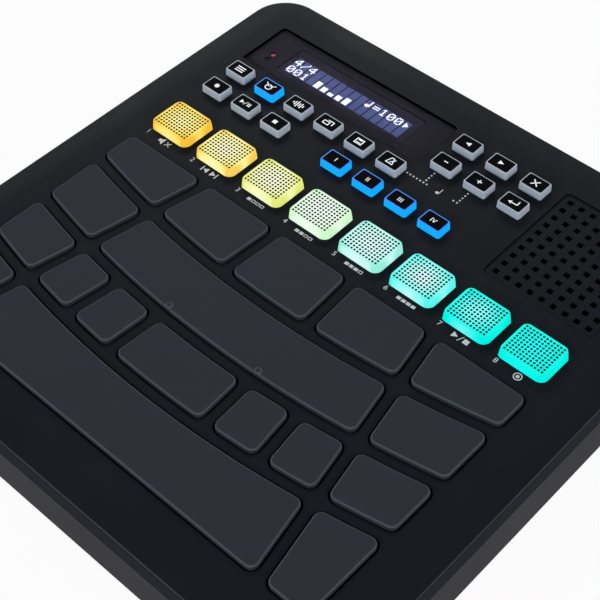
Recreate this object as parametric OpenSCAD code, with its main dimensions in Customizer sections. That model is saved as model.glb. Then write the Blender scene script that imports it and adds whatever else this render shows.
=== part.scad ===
// Finger drum pad: a free-standing instrument with drum pads, glowing pads, push buttons and a speaker.
// Millimetres. X runs to the right, Y to the back, Z up, with the feet standing on Z = 0.

/* [Body] */
// Width of the instrument, side to side
body_w = 255; // [229:0.5:290]
// Depth of the instrument, front to back
body_d = 259; // [233:0.5:300]
// Plan radius of the body's four corners
corner_r = 18; // [16:0.5:26]
// Height of the rubber feet below the tub
foot_h = 2.5; // [1.5:0.1:6]
// Height of the tub's sloping lower part
taper_h = 17.5; // [16:0.5:30]
// How far the tub's slope runs in towards its base
taper_in = 12; // [6:0.5:12.5]
// Height of the tub's upright band
band_h = 20.7; // [16:0.1:26]
// Height of the top case's upright rim
rim_h = 10.3; // [6:0.1:14]
// Fall of the top panel's soft border, from the flat to the edge
crown_drop = 1.6; // [0.6:0.1:1.7]
// Width of that soft border
crown_w = 12; // [8:0.5:14]
// Rounding of the top case's outer edge
edge_fillet = 0.9; // [0.4:0.1:1.5]
// Wall of the two cases
wall = 2.4; // [1.8:0.1:3]
// Thickness of the top panel
panel_t = 3; // [2.8:0.1:4]
// Space between the pad field and the body's sides and front
field_margin = 21.85; // [20:0.05:24]
// Space between the last row of buttons, at its centre line, and the body's back
rear_margin = 27.85; // [25.5:0.05:34]

/* [Drum pads] */
// Relative depths of the four rows of drum pads on the centre line, back row first
row_share = [28.4, 25, 22.6, 26.4]; // [20:0.1:32]
// Space between neighbouring drum pads
pad_space = 5.8; // [5:0.1:7]
// Radius of the smile curve that the rows follow
smile_r = 472; // [380:1:900]
// Distance from the field's back edge to the point that the pad sides fan out from
fan_reach = 313.8; // [290:0.1:360]
// Where the outer fan line meets the field's front edge, as a share of its half width
outer_share = 0.7966; // [0.7:0.0001:0.81]
// Plan radius of a drum pad's corners
pad_corner = 3.2; // [2:0.1:5]
// Height of the drum pads above the panel
pad_rise = 1.6; // [0.9:0.1:4]
// Rounding of a drum pad's top edge
pad_fillet = 0.9; // [0.3:0.1:1.5]
// Gap round a drum pad in its opening
pad_gap = 0.9; // [0.5:0.1:1.2]
// Lip of a drum pad that holds it under the panel
pad_lip = 1.5; // [1.3:0.1:1.9]
// How far a drum pad gives when it is struck
pad_travel = 0.5; // [0.2:0.1:1]

/* [Glowing pads] */
// Space between neighbouring glowing pads at the panel
lit_space = 5.3; // [3:0.1:7]
// Depth of a glowing pad's top face
lit_d = 17.5; // [14:0.1:18]
// How much a glowing pad widens on each side down to the panel
lit_flare = 0.5; // [0:0.1:1.4]
// Plan radius of a glowing pad's corners at its top face
lit_corner = 2.6; // [1:0.1:4]
// Rounding of a glowing pad's top edge
lit_fillet = 0.5; // [0.2:0.1:0.9]
// Height of the glowing pads above the panel
lit_rise = 3.3; // [2:0.1:6]
// Gap round a glowing pad in its opening
lit_gap = 0.5; // [0.3:0.1:0.8]
// How far a glowing pad travels
lit_travel = 0.6; // [0.2:0.1:1.2]
// Space between the drum pads and the glowing pads, where the numerals stand
numeral_space = 9.75; // [9:0.05:14]

/* [Push buttons] */
// Width of a button's top face
key_w = 11.2; // [8:0.1:12]
// Depth of a button's top face
key_d = 8; // [6:0.1:9]
// How much a button widens on each side down to the panel
key_flare = 0.2; // [0:0.1:1]
// Plan radius of a button's corners at its top face
key_corner = 0.8; // [0.5:0.1:2]
// Rounding of a button's top edge
key_fillet = 0.35; // [0.1:0.05:0.45]
// Height of the buttons above the panel
key_rise = 3.3; // [2:0.1:6]
// Gap round a button in its opening
key_gap = 0.4; // [0.3:0.1:0.6]
// How far a button travels
key_travel = 0.8; // [0.3:0.1:1.4]
// Space between the display window and the buttons on its right
nav_space = 5.76; // [3:0.01:8]
// Spacing of the button rows
key_pitch_y = 14.9; // [14:0.1:15.3]
// Distance from the glowing pads' centre line to the first row of buttons
key_start = 26.35; // [24:0.05:29]
// Inset of the first button column from the pad field's left edge
key_inset = 0.5; // [0:0.1:4]
// Lip that holds a button or a glowing pad under the panel
key_lip = 1.2; // [1:0.1:1.3]

/* [Display] */
// Width of the display window
window_w = 102.4; // [93:0.1:117]
// Depth of the display window
window_d = 28; // [25:0.1:28.6]
// Thickness of the display window
window_t = 1.5; // [1:0.1:1.8]
// Gap round the display window
window_gap = 0.35; // [0.2:0.05:0.5]
// Plan radius of the window's corners
window_corner = 1.5; // [0.8:0.1:4]
// How far the window reaches past the pad field's left edge
window_reach = 1.5; // [0:0.1:3]
// Space between the window and the body's back edge
window_margin = 20.3; // [16:0.1:22]
// Width of the opening over the character display
view_w = 74; // [60:0.5:76]
// Depth of the opening over the character display
view_d = 18.5; // [12:0.5:20]
// Distance from the window's left edge to that opening
view_start = 15.5; // [15:0.5:20]

/* [Speaker] */
// Space between the buttons and the speaker's grille
grille_space = 5.8; // [3:0.01:12]
// How far the grille reaches in front of the first row of buttons
grille_drop = 1.8; // [0:0.01:4]
// Spacing of the grille's holes
grille_pitch = 5.56; // [5:0.01:7]
// Width of one square hole
grille_hole = 2.5; // [1.5:0.1:3.4]
// Rim of the grille's recess round the holes
grille_rim = 4.1; // [3:0.1:6]
// Depth of the grille's recess
grille_recess = 0.6; // [0.3:0.1:1.2]
// Space between the grille's edge and the speaker's frame behind it
speaker_inset = 1.35; // [0.5:0.05:5]
// Depth of the speaker behind the panel
speaker_depth = 19; // [14:0.5:20]

/* [Rear side] */
// Radius of the plug's way into an audio jack
jack_r = 1.8; // [1.6:0.05:2.2]
// Height and width of an audio jack's body
jack_size = 6; // [5.4:0.1:6.4]
// Length of an audio jack's body behind the wall
jack_length = 13; // [11:0.5:14]
// Distances of the aux and phones jacks from the volume dial
jack_from_dial = [42, 58]; // [36:1:66]
// Distance of the USB socket from the volume dial
usb_from_dial = 76; // [74:1:84]
// Distance of the power button from the volume dial
power_from_dial = 20; // [18:1:28]
// Radius of the power button
power_r = 3.4; // [2.5:0.1:4]
// How far the power button travels
power_travel = 1.2; // [0.5:0.1:1.5]
// Distance of the volume dial from the body's right side
dial_in = 45.5; // [44:0.5:60]
// Radius of the volume dial, a wheel that lies flat behind the wall
dial_r = 9; // [8:0.1:10]
// Thickness of the volume dial
dial_t = 3; // [2.4:0.1:3.4]
// Radius of the volume dial's shaft
shaft_r = 3; // [2:0.1:3.2]
// Depth of the finger scoop in the wall round the dial
scoop_depth = 2; // [1.5:0.1:2.4]

/* [Fits] */
// Clearance of a seated or guided piece
seat_gap = 0.3; // [0.2:0.05:0.4]
// Running clearance of the dial's shaft in its bearing
run_gap = 0.05; // [0.02:0.01:0.08]
// Thickness of the lips under the panel
lip_t = 1.2; // [0.8:0.1:1.6]
// Thickness of the circuit boards
board_t = 1.6; // [1:0.1:2]
// Radius of the case screws' shanks
screw_r = 1.25; // [1:0.05:1.4]
// Radius of the screw posts under the panel
post_r = 2.6; // [2.2:0.1:2.7]
// Radius of the rubber feet
foot_r = 7; // [5:0.5:10]

/* [Hidden] */
$fn = 64;
// Numbers of straight steps in a pad's corner, its long curves and its rounded edge
corner_steps = 5;
curve_step = 9;
edge_steps = 4;
eps = 0.01;

// Heights
base_z = foot_h;
band_z = base_z + taper_h;
split_z = band_z + band_h;
edge_z = split_z + rim_h;
panel_z = edge_z + crown_drop;
under_z = panel_z - panel_t;
lip_top = under_z - seat_gap;
board_top = lip_top - lip_t - max(pad_travel, lit_travel, key_travel) - seat_gap;
floor_z = base_z + wall;
rear_z = band_z + band_h / 2;
main_top = rear_z - jack_size / 2;

// Soft border of the panel: one arc that leaves the flat level and meets the edge rounding smoothly
crown_r = (crown_w * crown_w + crown_drop * crown_drop) / (2 * crown_drop);
crown_x = corner_r - crown_w;
fillet_x = corner_r - edge_fillet;
fillet_z = panel_z - crown_r + sqrt(pow(crown_r - edge_fillet, 2) - pow(fillet_x - crown_x, 2));
fillet_touch = crown_x + (fillet_x - crown_x) * crown_r / (crown_r - edge_fillet);

// Plan of the pad field, whose rows are counted from the back
field_hw = body_w / 2 - field_margin;
field_front = field_margin - body_d / 2;
row_count = len(row_share);
lit_base_d = lit_d + 2 * lit_flare;
key_rows = 4;
field_d = body_d - field_margin - numeral_space - lit_base_d / 2 - key_start - (key_rows - 1) * key_pitch_y
    - rear_margin;
share_depth = (field_d - (row_count - 1) * pad_space) / (row_share * [for (r = row_share) 1]);
function row_front(i) = i == row_count - 1 ? field_front : row_back(i + 1) + pad_space;
function row_back(i) = row_front(i) + row_share[i] * share_depth;
field_back = row_back(0);
fan_point = [0, field_back + fan_reach];
outer_line = 3;
fan_step = atan(outer_share * field_hw / (fan_reach + field_d)) / outer_line;

// Each drum pad is a row and two side lines: fan lines by number, or the field's edge where the number is edge
edge = 9;
back_pads = [[0, -edge, -3], [0, -3, -1], [0, -1, 1], [0, 1, 3], [0, 3, edge]];
left_pads = [for (i = [1:3]) [i, -edge, -3]];
right_pads = [for (i = [1:3]) [i, 3, edge]];
inner_pads = [[2, -3, -2], [2, -2, -1], [2, -1, 1], [2, 1, 2], [2, 2, 3]];
middle_pad = [1, -3, 3];
front_pad = [3, -3, 3];
all_pads = concat(back_pads, left_pads, right_pads, inner_pads, [middle_pad, front_pad]);

// Plan of the glowing pads
lit_count = 8;
lit_base_w = (2 * (field_hw - seat_gap) - (lit_count - 1) * lit_space) / lit_count;
lit_w = lit_base_w - 2 * lit_flare;
lit_y = field_back + numeral_space + lit_base_d / 2;
lit_pitch = lit_base_w + lit_space;
function lit_x(i) = (i - (lit_count - 1) / 2) * lit_pitch;

// Plan of the buttons, by column from the left and row from the front
key_base_w = key_w + 2 * key_flare;
key_base_d = key_d + 2 * key_flare;
nav_column = 6;
last_column = 8;
window_left = -field_hw - window_reach;
key_first = key_inset - field_hw + key_base_w / 2;
key_pitch_x = (window_left + window_w + nav_space + key_base_w / 2 - key_first) / nav_column;
function key_x(column) = key_first + column * key_pitch_x;
function key_y(row) = lit_y + key_start + row * key_pitch_y;
function_keys = [for (c = [0:5]) [c, 1]];
transport_keys = [for (c = [0:2]) [c, 0]];
bank_keys = [for (c = [4:7]) [c, 0]];
nav_keys = [for (r = [key_rows - 1, key_rows - 2]) for (c = [nav_column:last_column]) [c, r]];
all_keys = concat(function_keys, transport_keys, bank_keys, nav_keys);

// Plan of the display
window_x = window_left + window_w / 2;
window_y = body_d / 2 - window_margin - window_d / 2;
view_x = window_left + view_start + view_w / 2;
view_y = window_y;
lamp_r = 1.3;
lamp_x = window_left + 8;
lamp_y = window_y - 4.3;
lamp_pitch = 4;
lcd_frame = 4;
lcd_frame_t = 5;
lcd_board = 6;

// Plan of the grille, whose right edge lines up with the pad openings and its back edge with the window
grille_left = key_x(last_column) + key_base_w / 2 + grille_space;
grille_right = field_hw + pad_gap;
grille_front = key_y(0) - key_base_d / 2 - grille_drop;
grille_back = window_y + window_d / 2;
grille_w = grille_right - grille_left;
grille_d = grille_back - grille_front;
grille_x = (grille_left + grille_right) / 2;
grille_y = (grille_front + grille_back) / 2;
function holes_along(length) = floor((length - 2 * grille_rim) / grille_pitch + eps) + 1;
grille_cols = holes_along(grille_w);
grille_rows = holes_along(grille_d);
grille_corner = 2.5;
speaker_r = min(grille_w, grille_d) / 2 - speaker_inset;

// Inside of the body and its fasteners
inner_w = body_w - 2 * wall;
inner_d = body_d - 2 * wall;
inner_r = corner_r - wall;
rear_y = body_d / 2;
wall_y = rear_y - wall;
post_split = (floor_z + under_z) / 2;
screw_hole_r = screw_r + run_gap;
screw_way_r = screw_r + seat_gap;
screw_head_r = 2 * screw_r;
screw_head_t = 1.4 * screw_r;
screw_seat = post_split - 4;
screw_length = 12 * screw_r;
tube_r = screw_head_r + seat_gap + 1.2;
seam_t = (wall - seat_gap) / 2;
seam_h = 2;
screw_inset = [9.5, 3.5];
screw_x = body_w / 2 - taper_in - screw_inset.x;
screw_y = body_d / 2 - taper_in - screw_inset.y;
screw_mid_x = lit_pitch * 2;
screw_mid_y = field_back + numeral_space / 2;
screws = [[-screw_x, -screw_y], [0, -screw_y], [screw_x, -screw_y], [-screw_mid_x, screw_mid_y],
    [screw_mid_x, screw_mid_y], [-screw_x, screw_y], [screw_x, screw_y]];
foot_inset = [21, 20];
foot_x = body_w / 2 - taper_in - foot_inset.x;
foot_y = body_d / 2 - taper_in - foot_inset.y;
foot_sink = 0.6;
feet = [for (sx = [-1, 1]) for (sy = [-1, 1]) [sx * foot_x, sy * foot_y]];

// Panel board and the staking pins that hold it
board_edge = 4;
board_spare = 0.8;
board_x = inner_w / 2 - board_edge;
board_front = field_front - pad_lip - board_spare;
board_back = key_y(1) + key_base_d / 2 + key_lip;
tongue_left = key_x(nav_column) - key_base_w / 2 - key_lip;
tongue_right = key_x(last_column) + key_base_w / 2 + key_lip;
tongue_back = key_y(key_rows - 1) + key_base_d / 2 + key_lip;
stake_x = (inner_w / 2 + field_hw + pad_lip) / 2;
stake_r = 1.2;
stake_head = 0.8;
stakes = [for (sx = [-1, 1]) for (y = [row_front(3), row_front(1), lit_y]) [sx * stake_x, y]];

// Main board, battery and rear pieces
dial_x = body_w / 2 - dial_in;
jack_x = [for (d = jack_from_dial) dial_x - d];
usb_x = dial_x - usb_from_dial;
power_x = dial_x - power_from_dial;
main_end = [10, 12];
main_d = 17.6;
main_gap = 3.5;
main_left = usb_x - main_end[0];
main_right = dial_x + main_end[1];
main_back = wall_y - main_gap;
main_front = main_back - main_d;
main_post_r = 3;
main_post_in = [5, 4];
main_posts = [for (x = [main_left + main_post_in.x, main_right - main_post_in.x]) [x, main_front + main_post_in.y]];
battery = [70, 58, 13];
battery_in = [67.5, 89.5];
battery_at = [battery_in.x - body_w / 2, battery_in.y - body_d / 2];
rib_t = 2;
rib_h = 6;
rib_arm = 12;
jack_nose_r = jack_r + 1.4;
usb_shell = [8.94, 7.5, 3.26];
usb_inside = [8.34, 6.4, 2.56];
usb_tongue = [6.7, 4.5, 0.7];
usb_z = main_top + usb_shell.z / 2;
power_lip = 1;
power_stem = 3;
power_back = wall_y - seat_gap - power_lip - power_stem;
switch_front = power_back - power_travel - seat_gap;
pot_size = [8, 8, 2.4];
switch_size = [8, 7, 6];
shaft_h = pot_size.z - 0.2;
dial_y = rear_y - seat_gap - dial_r;
dial_low = main_top + pot_size.z + seat_gap;
scoop_r = 30;
scoop_back = 2;
scoop_h = 4 * dial_t;
scoop_low = dial_low + dial_t / 2 - scoop_h / 2;
scoop_half = sqrt(scoop_r * scoop_r - pow(scoop_r - scoop_depth, 2));
slot_half = sqrt(dial_r * dial_r - pow(wall_y - scoop_back - dial_y, 2)) + 2 * seat_gap;

KEY_NAMES = ["menu_button", "kit_button", "audio_button", "session_button", "register_button", "click_button",
    "record_button", "play_button", "stop_button", "bank_button_1", "bank_button_2", "bank_button_3",
    "bank_button_4", "left_button", "right_button", "exit_button", "minus_button", "plus_button",
    "enter_button"];

// Colours
case_grey = "#222327";
tub_grey = "#4a484b";
pad_grey = "#34363b";
button_grey = "#aab4c0";
button_blue = "#3fa0ff";
lit_colours = ["#ffc02a", "#ffd84a", "#e6f27a", "#c8f7c0", "#a0f7dd", "#5ff5e8", "#00f5dc", "#00f0dc"];
lit_keys = [1, 9, 10, 11, 12];
board_green = "#1f5a3c";

// Points on an arc round c, from one direction to another
function arc(c, r, from, to, steps) =
    [for (i = [0:steps]) let (a = from + (to - from) * i / steps) c + r * [cos(a), sin(a)]];
function direction(v) = atan2(v.y, v.x);
function upward(from, to) = to < from ? to + 360 : to;

// Side line of a pad as [inward normal, distance along it from the origin]; side is 1 for a left side line
function side_line(number, side) = abs(number) == edge
    ? [[side, 0], -field_hw]
    : let (a = number * fan_step, n = side * [cos(a), sin(a)]) [n, n * fan_point + pad_space / 2];

// Point at the given distance from a side line where it meets a row's curve, moved in by the same distance.
// The back row's back edge and the front row's front edge are straight.
function is_straight(row, at_back) = at_back ? row == 0 : row == row_count - 1;
function curve_y(row, at_back) = at_back ? row_back(row) : row_front(row);
function curve_centre(row, at_back) = [0, curve_y(row, at_back) + smile_r];
function curve_r(at_back, inset) = smile_r + (at_back ? inset : -inset);
function corner_centre(line, row, at_back, inset) = let (n = line[0], k = line[1] + inset)
    is_straight(row, at_back)
    ? let (y = curve_y(row, at_back) + (at_back ? -inset : inset)) [(k - n.y * y) / n.x, y]
    : let (c = curve_centre(row, at_back), h = n * c - k, forward = n.x > 0 ? [n.y, -n.x] : [-n.y, n.x])
        c - h * n + sqrt(pow(curve_r(at_back, inset), 2) - h * h) * forward;

// Direction from a corner's centre to the point where its arc meets the row's curve
function curve_side(centre, row, at_back) = is_straight(row, at_back)
    ? (at_back ? 90 : 270)
    : let (v = curve_centre(row, at_back) - centre) at_back ? direction(v) : direction(-v) + 360;

// Points between two corners along a row's curve
function curve_points(row, at_back, from, to, inset) = is_straight(row, at_back) ? []
    : let (c = curve_centre(row, at_back), a = direction(from - c), b = direction(to - c),
        steps = max(2, round(norm(to - from) / curve_step)))
        [for (i = [1:steps - 1]) c + curve_r(at_back, inset) * [cos(a + (b - a) * i / steps),
            sin(a + (b - a) * i / steps)]];

// Outline of a drum pad, moved in by inset, which is below 0 for its opening and its lip
function pad_outline(pad, inset) = let (
    row = pad[0], left = side_line(pad[1], 1), right = side_line(pad[2], -1),
    r = pad_corner - inset, reach = pad_corner,
    br = corner_centre(right, row, true, reach), bl = corner_centre(left, row, true, reach),
    fl = corner_centre(left, row, false, reach), fr = corner_centre(right, row, false, reach),
    out_left = direction(-left[0]) < 0 ? direction(-left[0]) + 360 : direction(-left[0]),
    out_right = direction(-right[0]),
    back_right = curve_side(br, row, true), back_left = curve_side(bl, row, true),
    front_left = curve_side(fl, row, false), front_right = curve_side(fr, row, false))
    concat(
        arc(br, r, out_right, back_right, corner_steps),
        curve_points(row, true, br, bl, inset),
        arc(bl, r, back_left, out_left, corner_steps),
        arc(fl, r, out_left, front_left, corner_steps),
        curve_points(row, false, fl, fr, inset),
        arc(fr, r, front_right, out_right + 360, corner_steps));

// Solid through outlines of equal length stacked upward, each given as [inset, height]
module pad_loft(pad, levels) {
    outlines = [for (l = levels) pad_outline(pad, l[0])];
    n = len(outlines[0]);
    top = len(levels) - 1;
    points = [for (k = [0:top]) for (p = outlines[k]) [p.x, p.y, levels[k][1]]];
    sides = [for (k = [0:top - 1]) for (i = [0:n - 1]) let (j = (i + 1) % n)
        [k * n + i, (k + 1) * n + i, (k + 1) * n + j, k * n + j]];
    polyhedron(points, concat([[for (i = [0:n - 1]) i]], sides, [[for (i = [n - 1:-1:0]) top * n + i]]));
}

// Rubber pad with a rounded top edge and a lip under the panel
module drum_pad(pad) {
    crest = panel_z + pad_rise;
    lip_base = board_top + pad_travel + seat_gap;
    rounding = [for (i = [0:edge_steps]) let (a = 90 * i / edge_steps)
        [pad_fillet * (1 - cos(a)), crest - pad_fillet * (1 - sin(a))]];
    color(pad_grey)
        pad_loft(pad, concat([[-pad_lip, lip_base], [-pad_lip, lip_top], [0, lip_top]], rounding));
}

// Solid with rounded plan corners, from one profile drawn outward from a corner's centre to the radius r.
// The block inside the corner centres fills it from low to high.
module rounded_solid(w, d, r, low, high) {
    cx = w / 2 - r;
    cy = d / 2 - r;
    for (k = [0:3])
        translate([k == 0 || k == 3 ? cx : -cx, k < 2 ? cy : -cy, 0])
            rotate(90 * k)
            rotate_extrude(angle = 90)
            children();
    for (k = [0:3])
        rotate(90 * k)
            translate([k % 2 == 0 ? cx : cy, 0, 0])
            rotate([90, 0, 0])
            linear_extrude(2 * (k % 2 == 0 ? cy : cx), center = true)
            children();
    translate([-cx, -cy, low])
        cube([2 * cx, 2 * cy, high - low]);
}

// Flat plate with rounded plan corners
module rounded_plate(w, d, r, low, high) {
    translate([0, 0, low])
        linear_extrude(high - low) {
            square([w - 2 * r, d], center = true);
            square([w, d - 2 * r], center = true);
            for (sx = [-1, 1])
                for (sy = [-1, 1])
                    translate([sx * (w / 2 - r), sy * (d / 2 - r)])
                        circle(r);
        }
}

// Moulded cap with flared sides, a rounded top edge and a lip under the panel
module cap(w, d, corner, flare, rise, fillet, travel) {
    low = board_top + travel + seat_gap;
    crest = panel_z + rise;
    r = corner + flare;
    slope = flare * (1 - fillet / rise);
    rounding = [for (i = [0:edge_steps]) let (a = 90 * i / edge_steps)
        [r - slope - fillet * (1 - cos(a)), crest - fillet * (1 - sin(a))]];
    base_w = w + 2 * flare;
    base_d = d + 2 * flare;
    rounded_solid(base_w, base_d, r, low, crest)
        polygon(concat([[0, low], [r, low], [r, panel_z]], rounding, [[0, crest]]));
    rounded_plate(base_w + 2 * key_lip, base_d + 2 * key_lip, r + key_lip, low, lip_top);
}

module lit_pad(i) {
    color(lit_colours[i])
        translate([lit_x(i), lit_y, 0])
        cap(lit_w, lit_d, lit_corner, lit_flare, lit_rise, lit_fillet, lit_travel);
}

module button(i) {
    color(len(search(i, lit_keys)) > 0 ? button_blue : button_grey)
        translate([key_x(all_keys[i][0]), key_y(all_keys[i][1]), 0])
        cap(key_w, key_d, key_corner, key_flare, key_rise, key_fillet, key_travel);
}

// Profile of the top case's outside: upright rim, rounded edge and soft border
module top_profile() {
    intersection() {
        union() {
            translate([0, split_z])
                square([fillet_touch, panel_z - split_z]);
            translate([0, split_z])
                square([corner_r, fillet_z - split_z]);
            translate([fillet_x, fillet_z])
                circle(edge_fillet);
        }
        union() {
            translate([0, split_z])
                square([crown_x, panel_z - split_z]);
            translate([crown_x, panel_z - crown_r])
                circle(crown_r, $fn = 360);
        }
    }
}

// Openings of the pads, buttons, window, lamps and grille in the top panel
module panel_openings() {
    cut_z = under_z - 1;
    cut_h = panel_t + 2;
    for (pad = all_pads)
        translate([0, 0, cut_z])
            linear_extrude(cut_h)
            polygon(pad_outline(pad, -pad_gap));
    for (i = [0:lit_count - 1])
        translate([lit_x(i), lit_y, 0])
            rounded_plate(lit_base_w + 2 * lit_gap, lit_base_d + 2 * lit_gap,
                lit_corner + lit_flare + lit_gap, cut_z, cut_z + cut_h);
    for (key = all_keys)
        translate([key_x(key[0]), key_y(key[1]), 0])
            rounded_plate(key_base_w + 2 * key_gap, key_base_d + 2 * key_gap,
                key_corner + key_flare + key_gap, cut_z, cut_z + cut_h);
    translate([window_x, window_y, 0])
        rounded_plate(window_w + 2 * window_gap, window_d + 2 * window_gap,
            window_corner + window_gap, panel_z - window_t, panel_z + 1);
    translate([view_x, view_y, 0])
        rounded_plate(view_w, view_d, window_corner, cut_z, panel_z);
    for (s = [-0.5, 0.5])
        translate([lamp_x, lamp_y + s * lamp_pitch, cut_z])
            cylinder(r = lamp_r, h = cut_h);
    translate([grille_x, grille_y, 0]) {
        rounded_plate(grille_w, grille_d, grille_corner, panel_z - grille_recess, panel_z + 1);
        for (c = [0:grille_cols - 1])
            for (r = [0:grille_rows - 1])
                translate([(c - (grille_cols - 1) / 2) * grille_pitch, (r - (grille_rows - 1) / 2) * grille_pitch,
                    under_z + panel_t / 2])
                    cube([grille_hole, grille_hole, cut_h], center = true);
    }
}

// Outside of the tongue round the tub's mouth that centres the top case on it; with a gap, the rebate for it
module seam_plate(gap, low, high) {
    reach = seam_t + gap;
    rounded_plate(inner_w + 2 * reach, inner_d + 2 * reach, inner_r + reach, low, high);
}

module top_case() {
    color(case_grey) {
        difference() {
            rounded_solid(body_w, body_d, corner_r, split_z, panel_z)
                top_profile();
            rounded_plate(inner_w, inner_d, inner_r, split_z - 1, under_z);
            seam_plate(seat_gap, split_z - 1, split_z + seam_h + seat_gap);
            panel_openings();
        }
        for (p = screws)
            translate([p.x, p.y, post_split])
                difference() {
                    cylinder(r = post_r, h = under_z - post_split + eps);
                    translate([0, 0, -1])
                        cylinder(r = screw_hole_r, h = screw_seat + screw_length + 1 - post_split + 1);
                }
        for (p = stakes)
            translate([p.x, p.y, 0]) {
                translate([0, 0, board_top])
                    cylinder(r = post_r, h = under_z - board_top + eps);
                translate([0, 0, board_top - board_t - stake_head])
                    cylinder(r = stake_r, h = board_t + stake_head + eps);
            }
    }
}

// Profile of the tub, with its slope and its upright band, moved in by the wall for its inside
module tub_profile(inset, low, high) {
    polygon([[0, low], [corner_r - taper_in - inset, low], [corner_r - inset, band_z],
        [corner_r - inset, high], [0, high]]);
}

// Ways through the rear wall for the jacks, the USB socket, the power button and the dial, with its scoop
module rear_openings() {
    for (x = jack_x)
        translate([x, rear_y + 1, rear_z])
            rotate([90, 0, 0])
            cylinder(r = jack_nose_r + seat_gap, h = wall + 2);
    translate([usb_x, rear_y + 1, usb_z])
        rotate([90, 0, 0])
        stadium(usb_shell.x + 2 * seat_gap, usb_shell.z + 2 * seat_gap, wall + 2);
    translate([power_x, rear_y + 1, rear_z])
        rotate([90, 0, 0])
        cylinder(r = power_r + seat_gap, h = wall + 2);
    translate([dial_x, rear_y + scoop_r - scoop_depth, scoop_low])
        cylinder(r = scoop_r, h = scoop_h, $fn = 180);
    translate([dial_x - slot_half, rear_y - wall - scoop_back - 1, dial_low - seat_gap])
        cube([2 * slot_half, wall + scoop_back + 2, dial_t + 2 * seat_gap]);
}

// Bar with round ends, wide along X and h long
module stadium(w, t, h) {
    linear_extrude(h) {
        square([w - t, t], center = true);
        for (s = [-1, 1])
            translate([s * (w - t) / 2, 0])
                circle(t / 2);
    }
}

module bottom_case() {
    color(tub_grey)
        difference() {
            union() {
                difference() {
                    union() {
                        rounded_solid(body_w, body_d, corner_r, base_z, split_z)
                            tub_profile(0, base_z, split_z);
                        seam_plate(0, split_z - 1, split_z + seam_h);
                    }
                    rounded_solid(inner_w, inner_d, inner_r, floor_z, split_z + seam_h + 1)
                        tub_profile(wall, floor_z, split_z + seam_h + 1);
                }
                for (p = screws)
                    translate([p.x, p.y, base_z + eps])
                        cylinder(r = tube_r, h = post_split - base_z - eps);
                for (p = main_posts)
                    translate([p.x, p.y, base_z + eps])
                        cylinder(r = main_post_r, h = main_top - board_t - base_z - eps);
                translate([battery_at.x, battery_at.y, floor_z - eps])
                    battery_ribs();
                translate([dial_x - scoop_half - 1, wall_y - scoop_back, scoop_low - wall])
                    cube([2 * scoop_half + 2, scoop_back + eps, scoop_h + 2 * wall]);
            }
            for (p = screws)
                translate([p.x, p.y, 0]) {
                    cylinder(r = screw_way_r, h = split_z);
                    cylinder(r = screw_head_r + seat_gap, h = screw_seat);
                }
            for (p = feet)
                translate([p.x, p.y, 0])
                    cylinder(r = foot_r + seat_gap, h = base_z + foot_sink);
            rear_openings();
        }
}

// Low ribs that hold the battery's four corners
module battery_ribs() {
    hx = battery.x / 2 + seat_gap;
    hy = battery.y / 2 + seat_gap;
    for (sx = [0, 1])
        for (sy = [0, 1])
            mirror([sx, 0, 0])
                mirror([0, sy, 0]) {
                    translate([hx, hy - rib_arm, 0])
                        cube([rib_t, rib_arm + rib_t, rib_h]);
                    translate([hx - rib_arm, hy, 0])
                        cube([rib_arm + rib_t, rib_t, rib_h]);
                }
}

module display_window() {
    color("#17171b")
        translate([window_x, window_y, 0])
        rounded_plate(window_w, window_d, window_corner, panel_z - window_t, panel_z);
}

// Character display: framed glass under the window's opening, on its own board
module lcd_module() {
    glass_low = 0.6;
    color("#5a5fa8")
        translate([view_x, view_y, 0]) {
            difference() {
                rounded_plate(view_w + 2 * lcd_frame, view_d + 2 * lcd_frame, 1, under_z - lcd_frame_t, under_z);
                rounded_plate(view_w + 2, view_d + 2, 0.5, under_z - glass_low, under_z + 1);
            }
            rounded_plate(view_w + 2 * lcd_board, view_d + 2 * lcd_board, 1,
                under_z - lcd_frame_t - board_t, under_z - lcd_frame_t + eps);
        }
}

// Board of the button contacts and pad sensors, cut away round the speaker and the screw posts
module panel_board() {
    low = board_top - board_t;
    color(board_green)
        translate([0, 0, low])
        linear_extrude(board_t)
        difference() {
            union() {
                translate([-board_x, board_front])
                    square([2 * board_x, board_back - board_front]);
                translate([tongue_left, board_back - 1])
                    square([tongue_right - tongue_left, tongue_back - board_back + 1]);
            }
            translate([grille_x, grille_y])
                circle(speaker_r + 1.5);
            for (p = screws)
                translate(p)
                    circle(post_r + seat_gap);
            for (p = stakes)
                translate(p)
                    circle(stake_r + run_gap);
        }
}

module main_board() {
    color(board_green)
        translate([main_left, main_front, main_top - board_t])
        cube([main_right - main_left, main_back - main_front, board_t]);
}

// Loudspeaker: frame, cone, dust cap and magnet, turned in one profile
module speaker() {
    flange_t = 2;
    magnet_r = speaker_r * 0.56;
    magnet_t = 7;
    back = under_z - speaker_depth;
    magnet_top = back + magnet_t;
    color("#2a2a2c")
        translate([grille_x, grille_y, 0])
        rotate_extrude()
        polygon([[0, back], [magnet_r, back], [magnet_r, magnet_top], [speaker_r - 3, under_z - flange_t],
            [speaker_r, under_z - flange_t], [speaker_r, under_z], [speaker_r - 2.5, under_z],
            [speaker_r - 3.5, under_z - 1.2], [speaker_r * 0.32, magnet_top + 1.5], [speaker_r * 0.25, magnet_top + 3],
            [0, magnet_top + 4]]);
}

module battery_pack() {
    color("#3d6f9e")
        translate([battery_at.x, battery_at.y, 0])
        rounded_plate(battery.x, battery.y, 2, floor_z, floor_z + battery.z);
}

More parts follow.
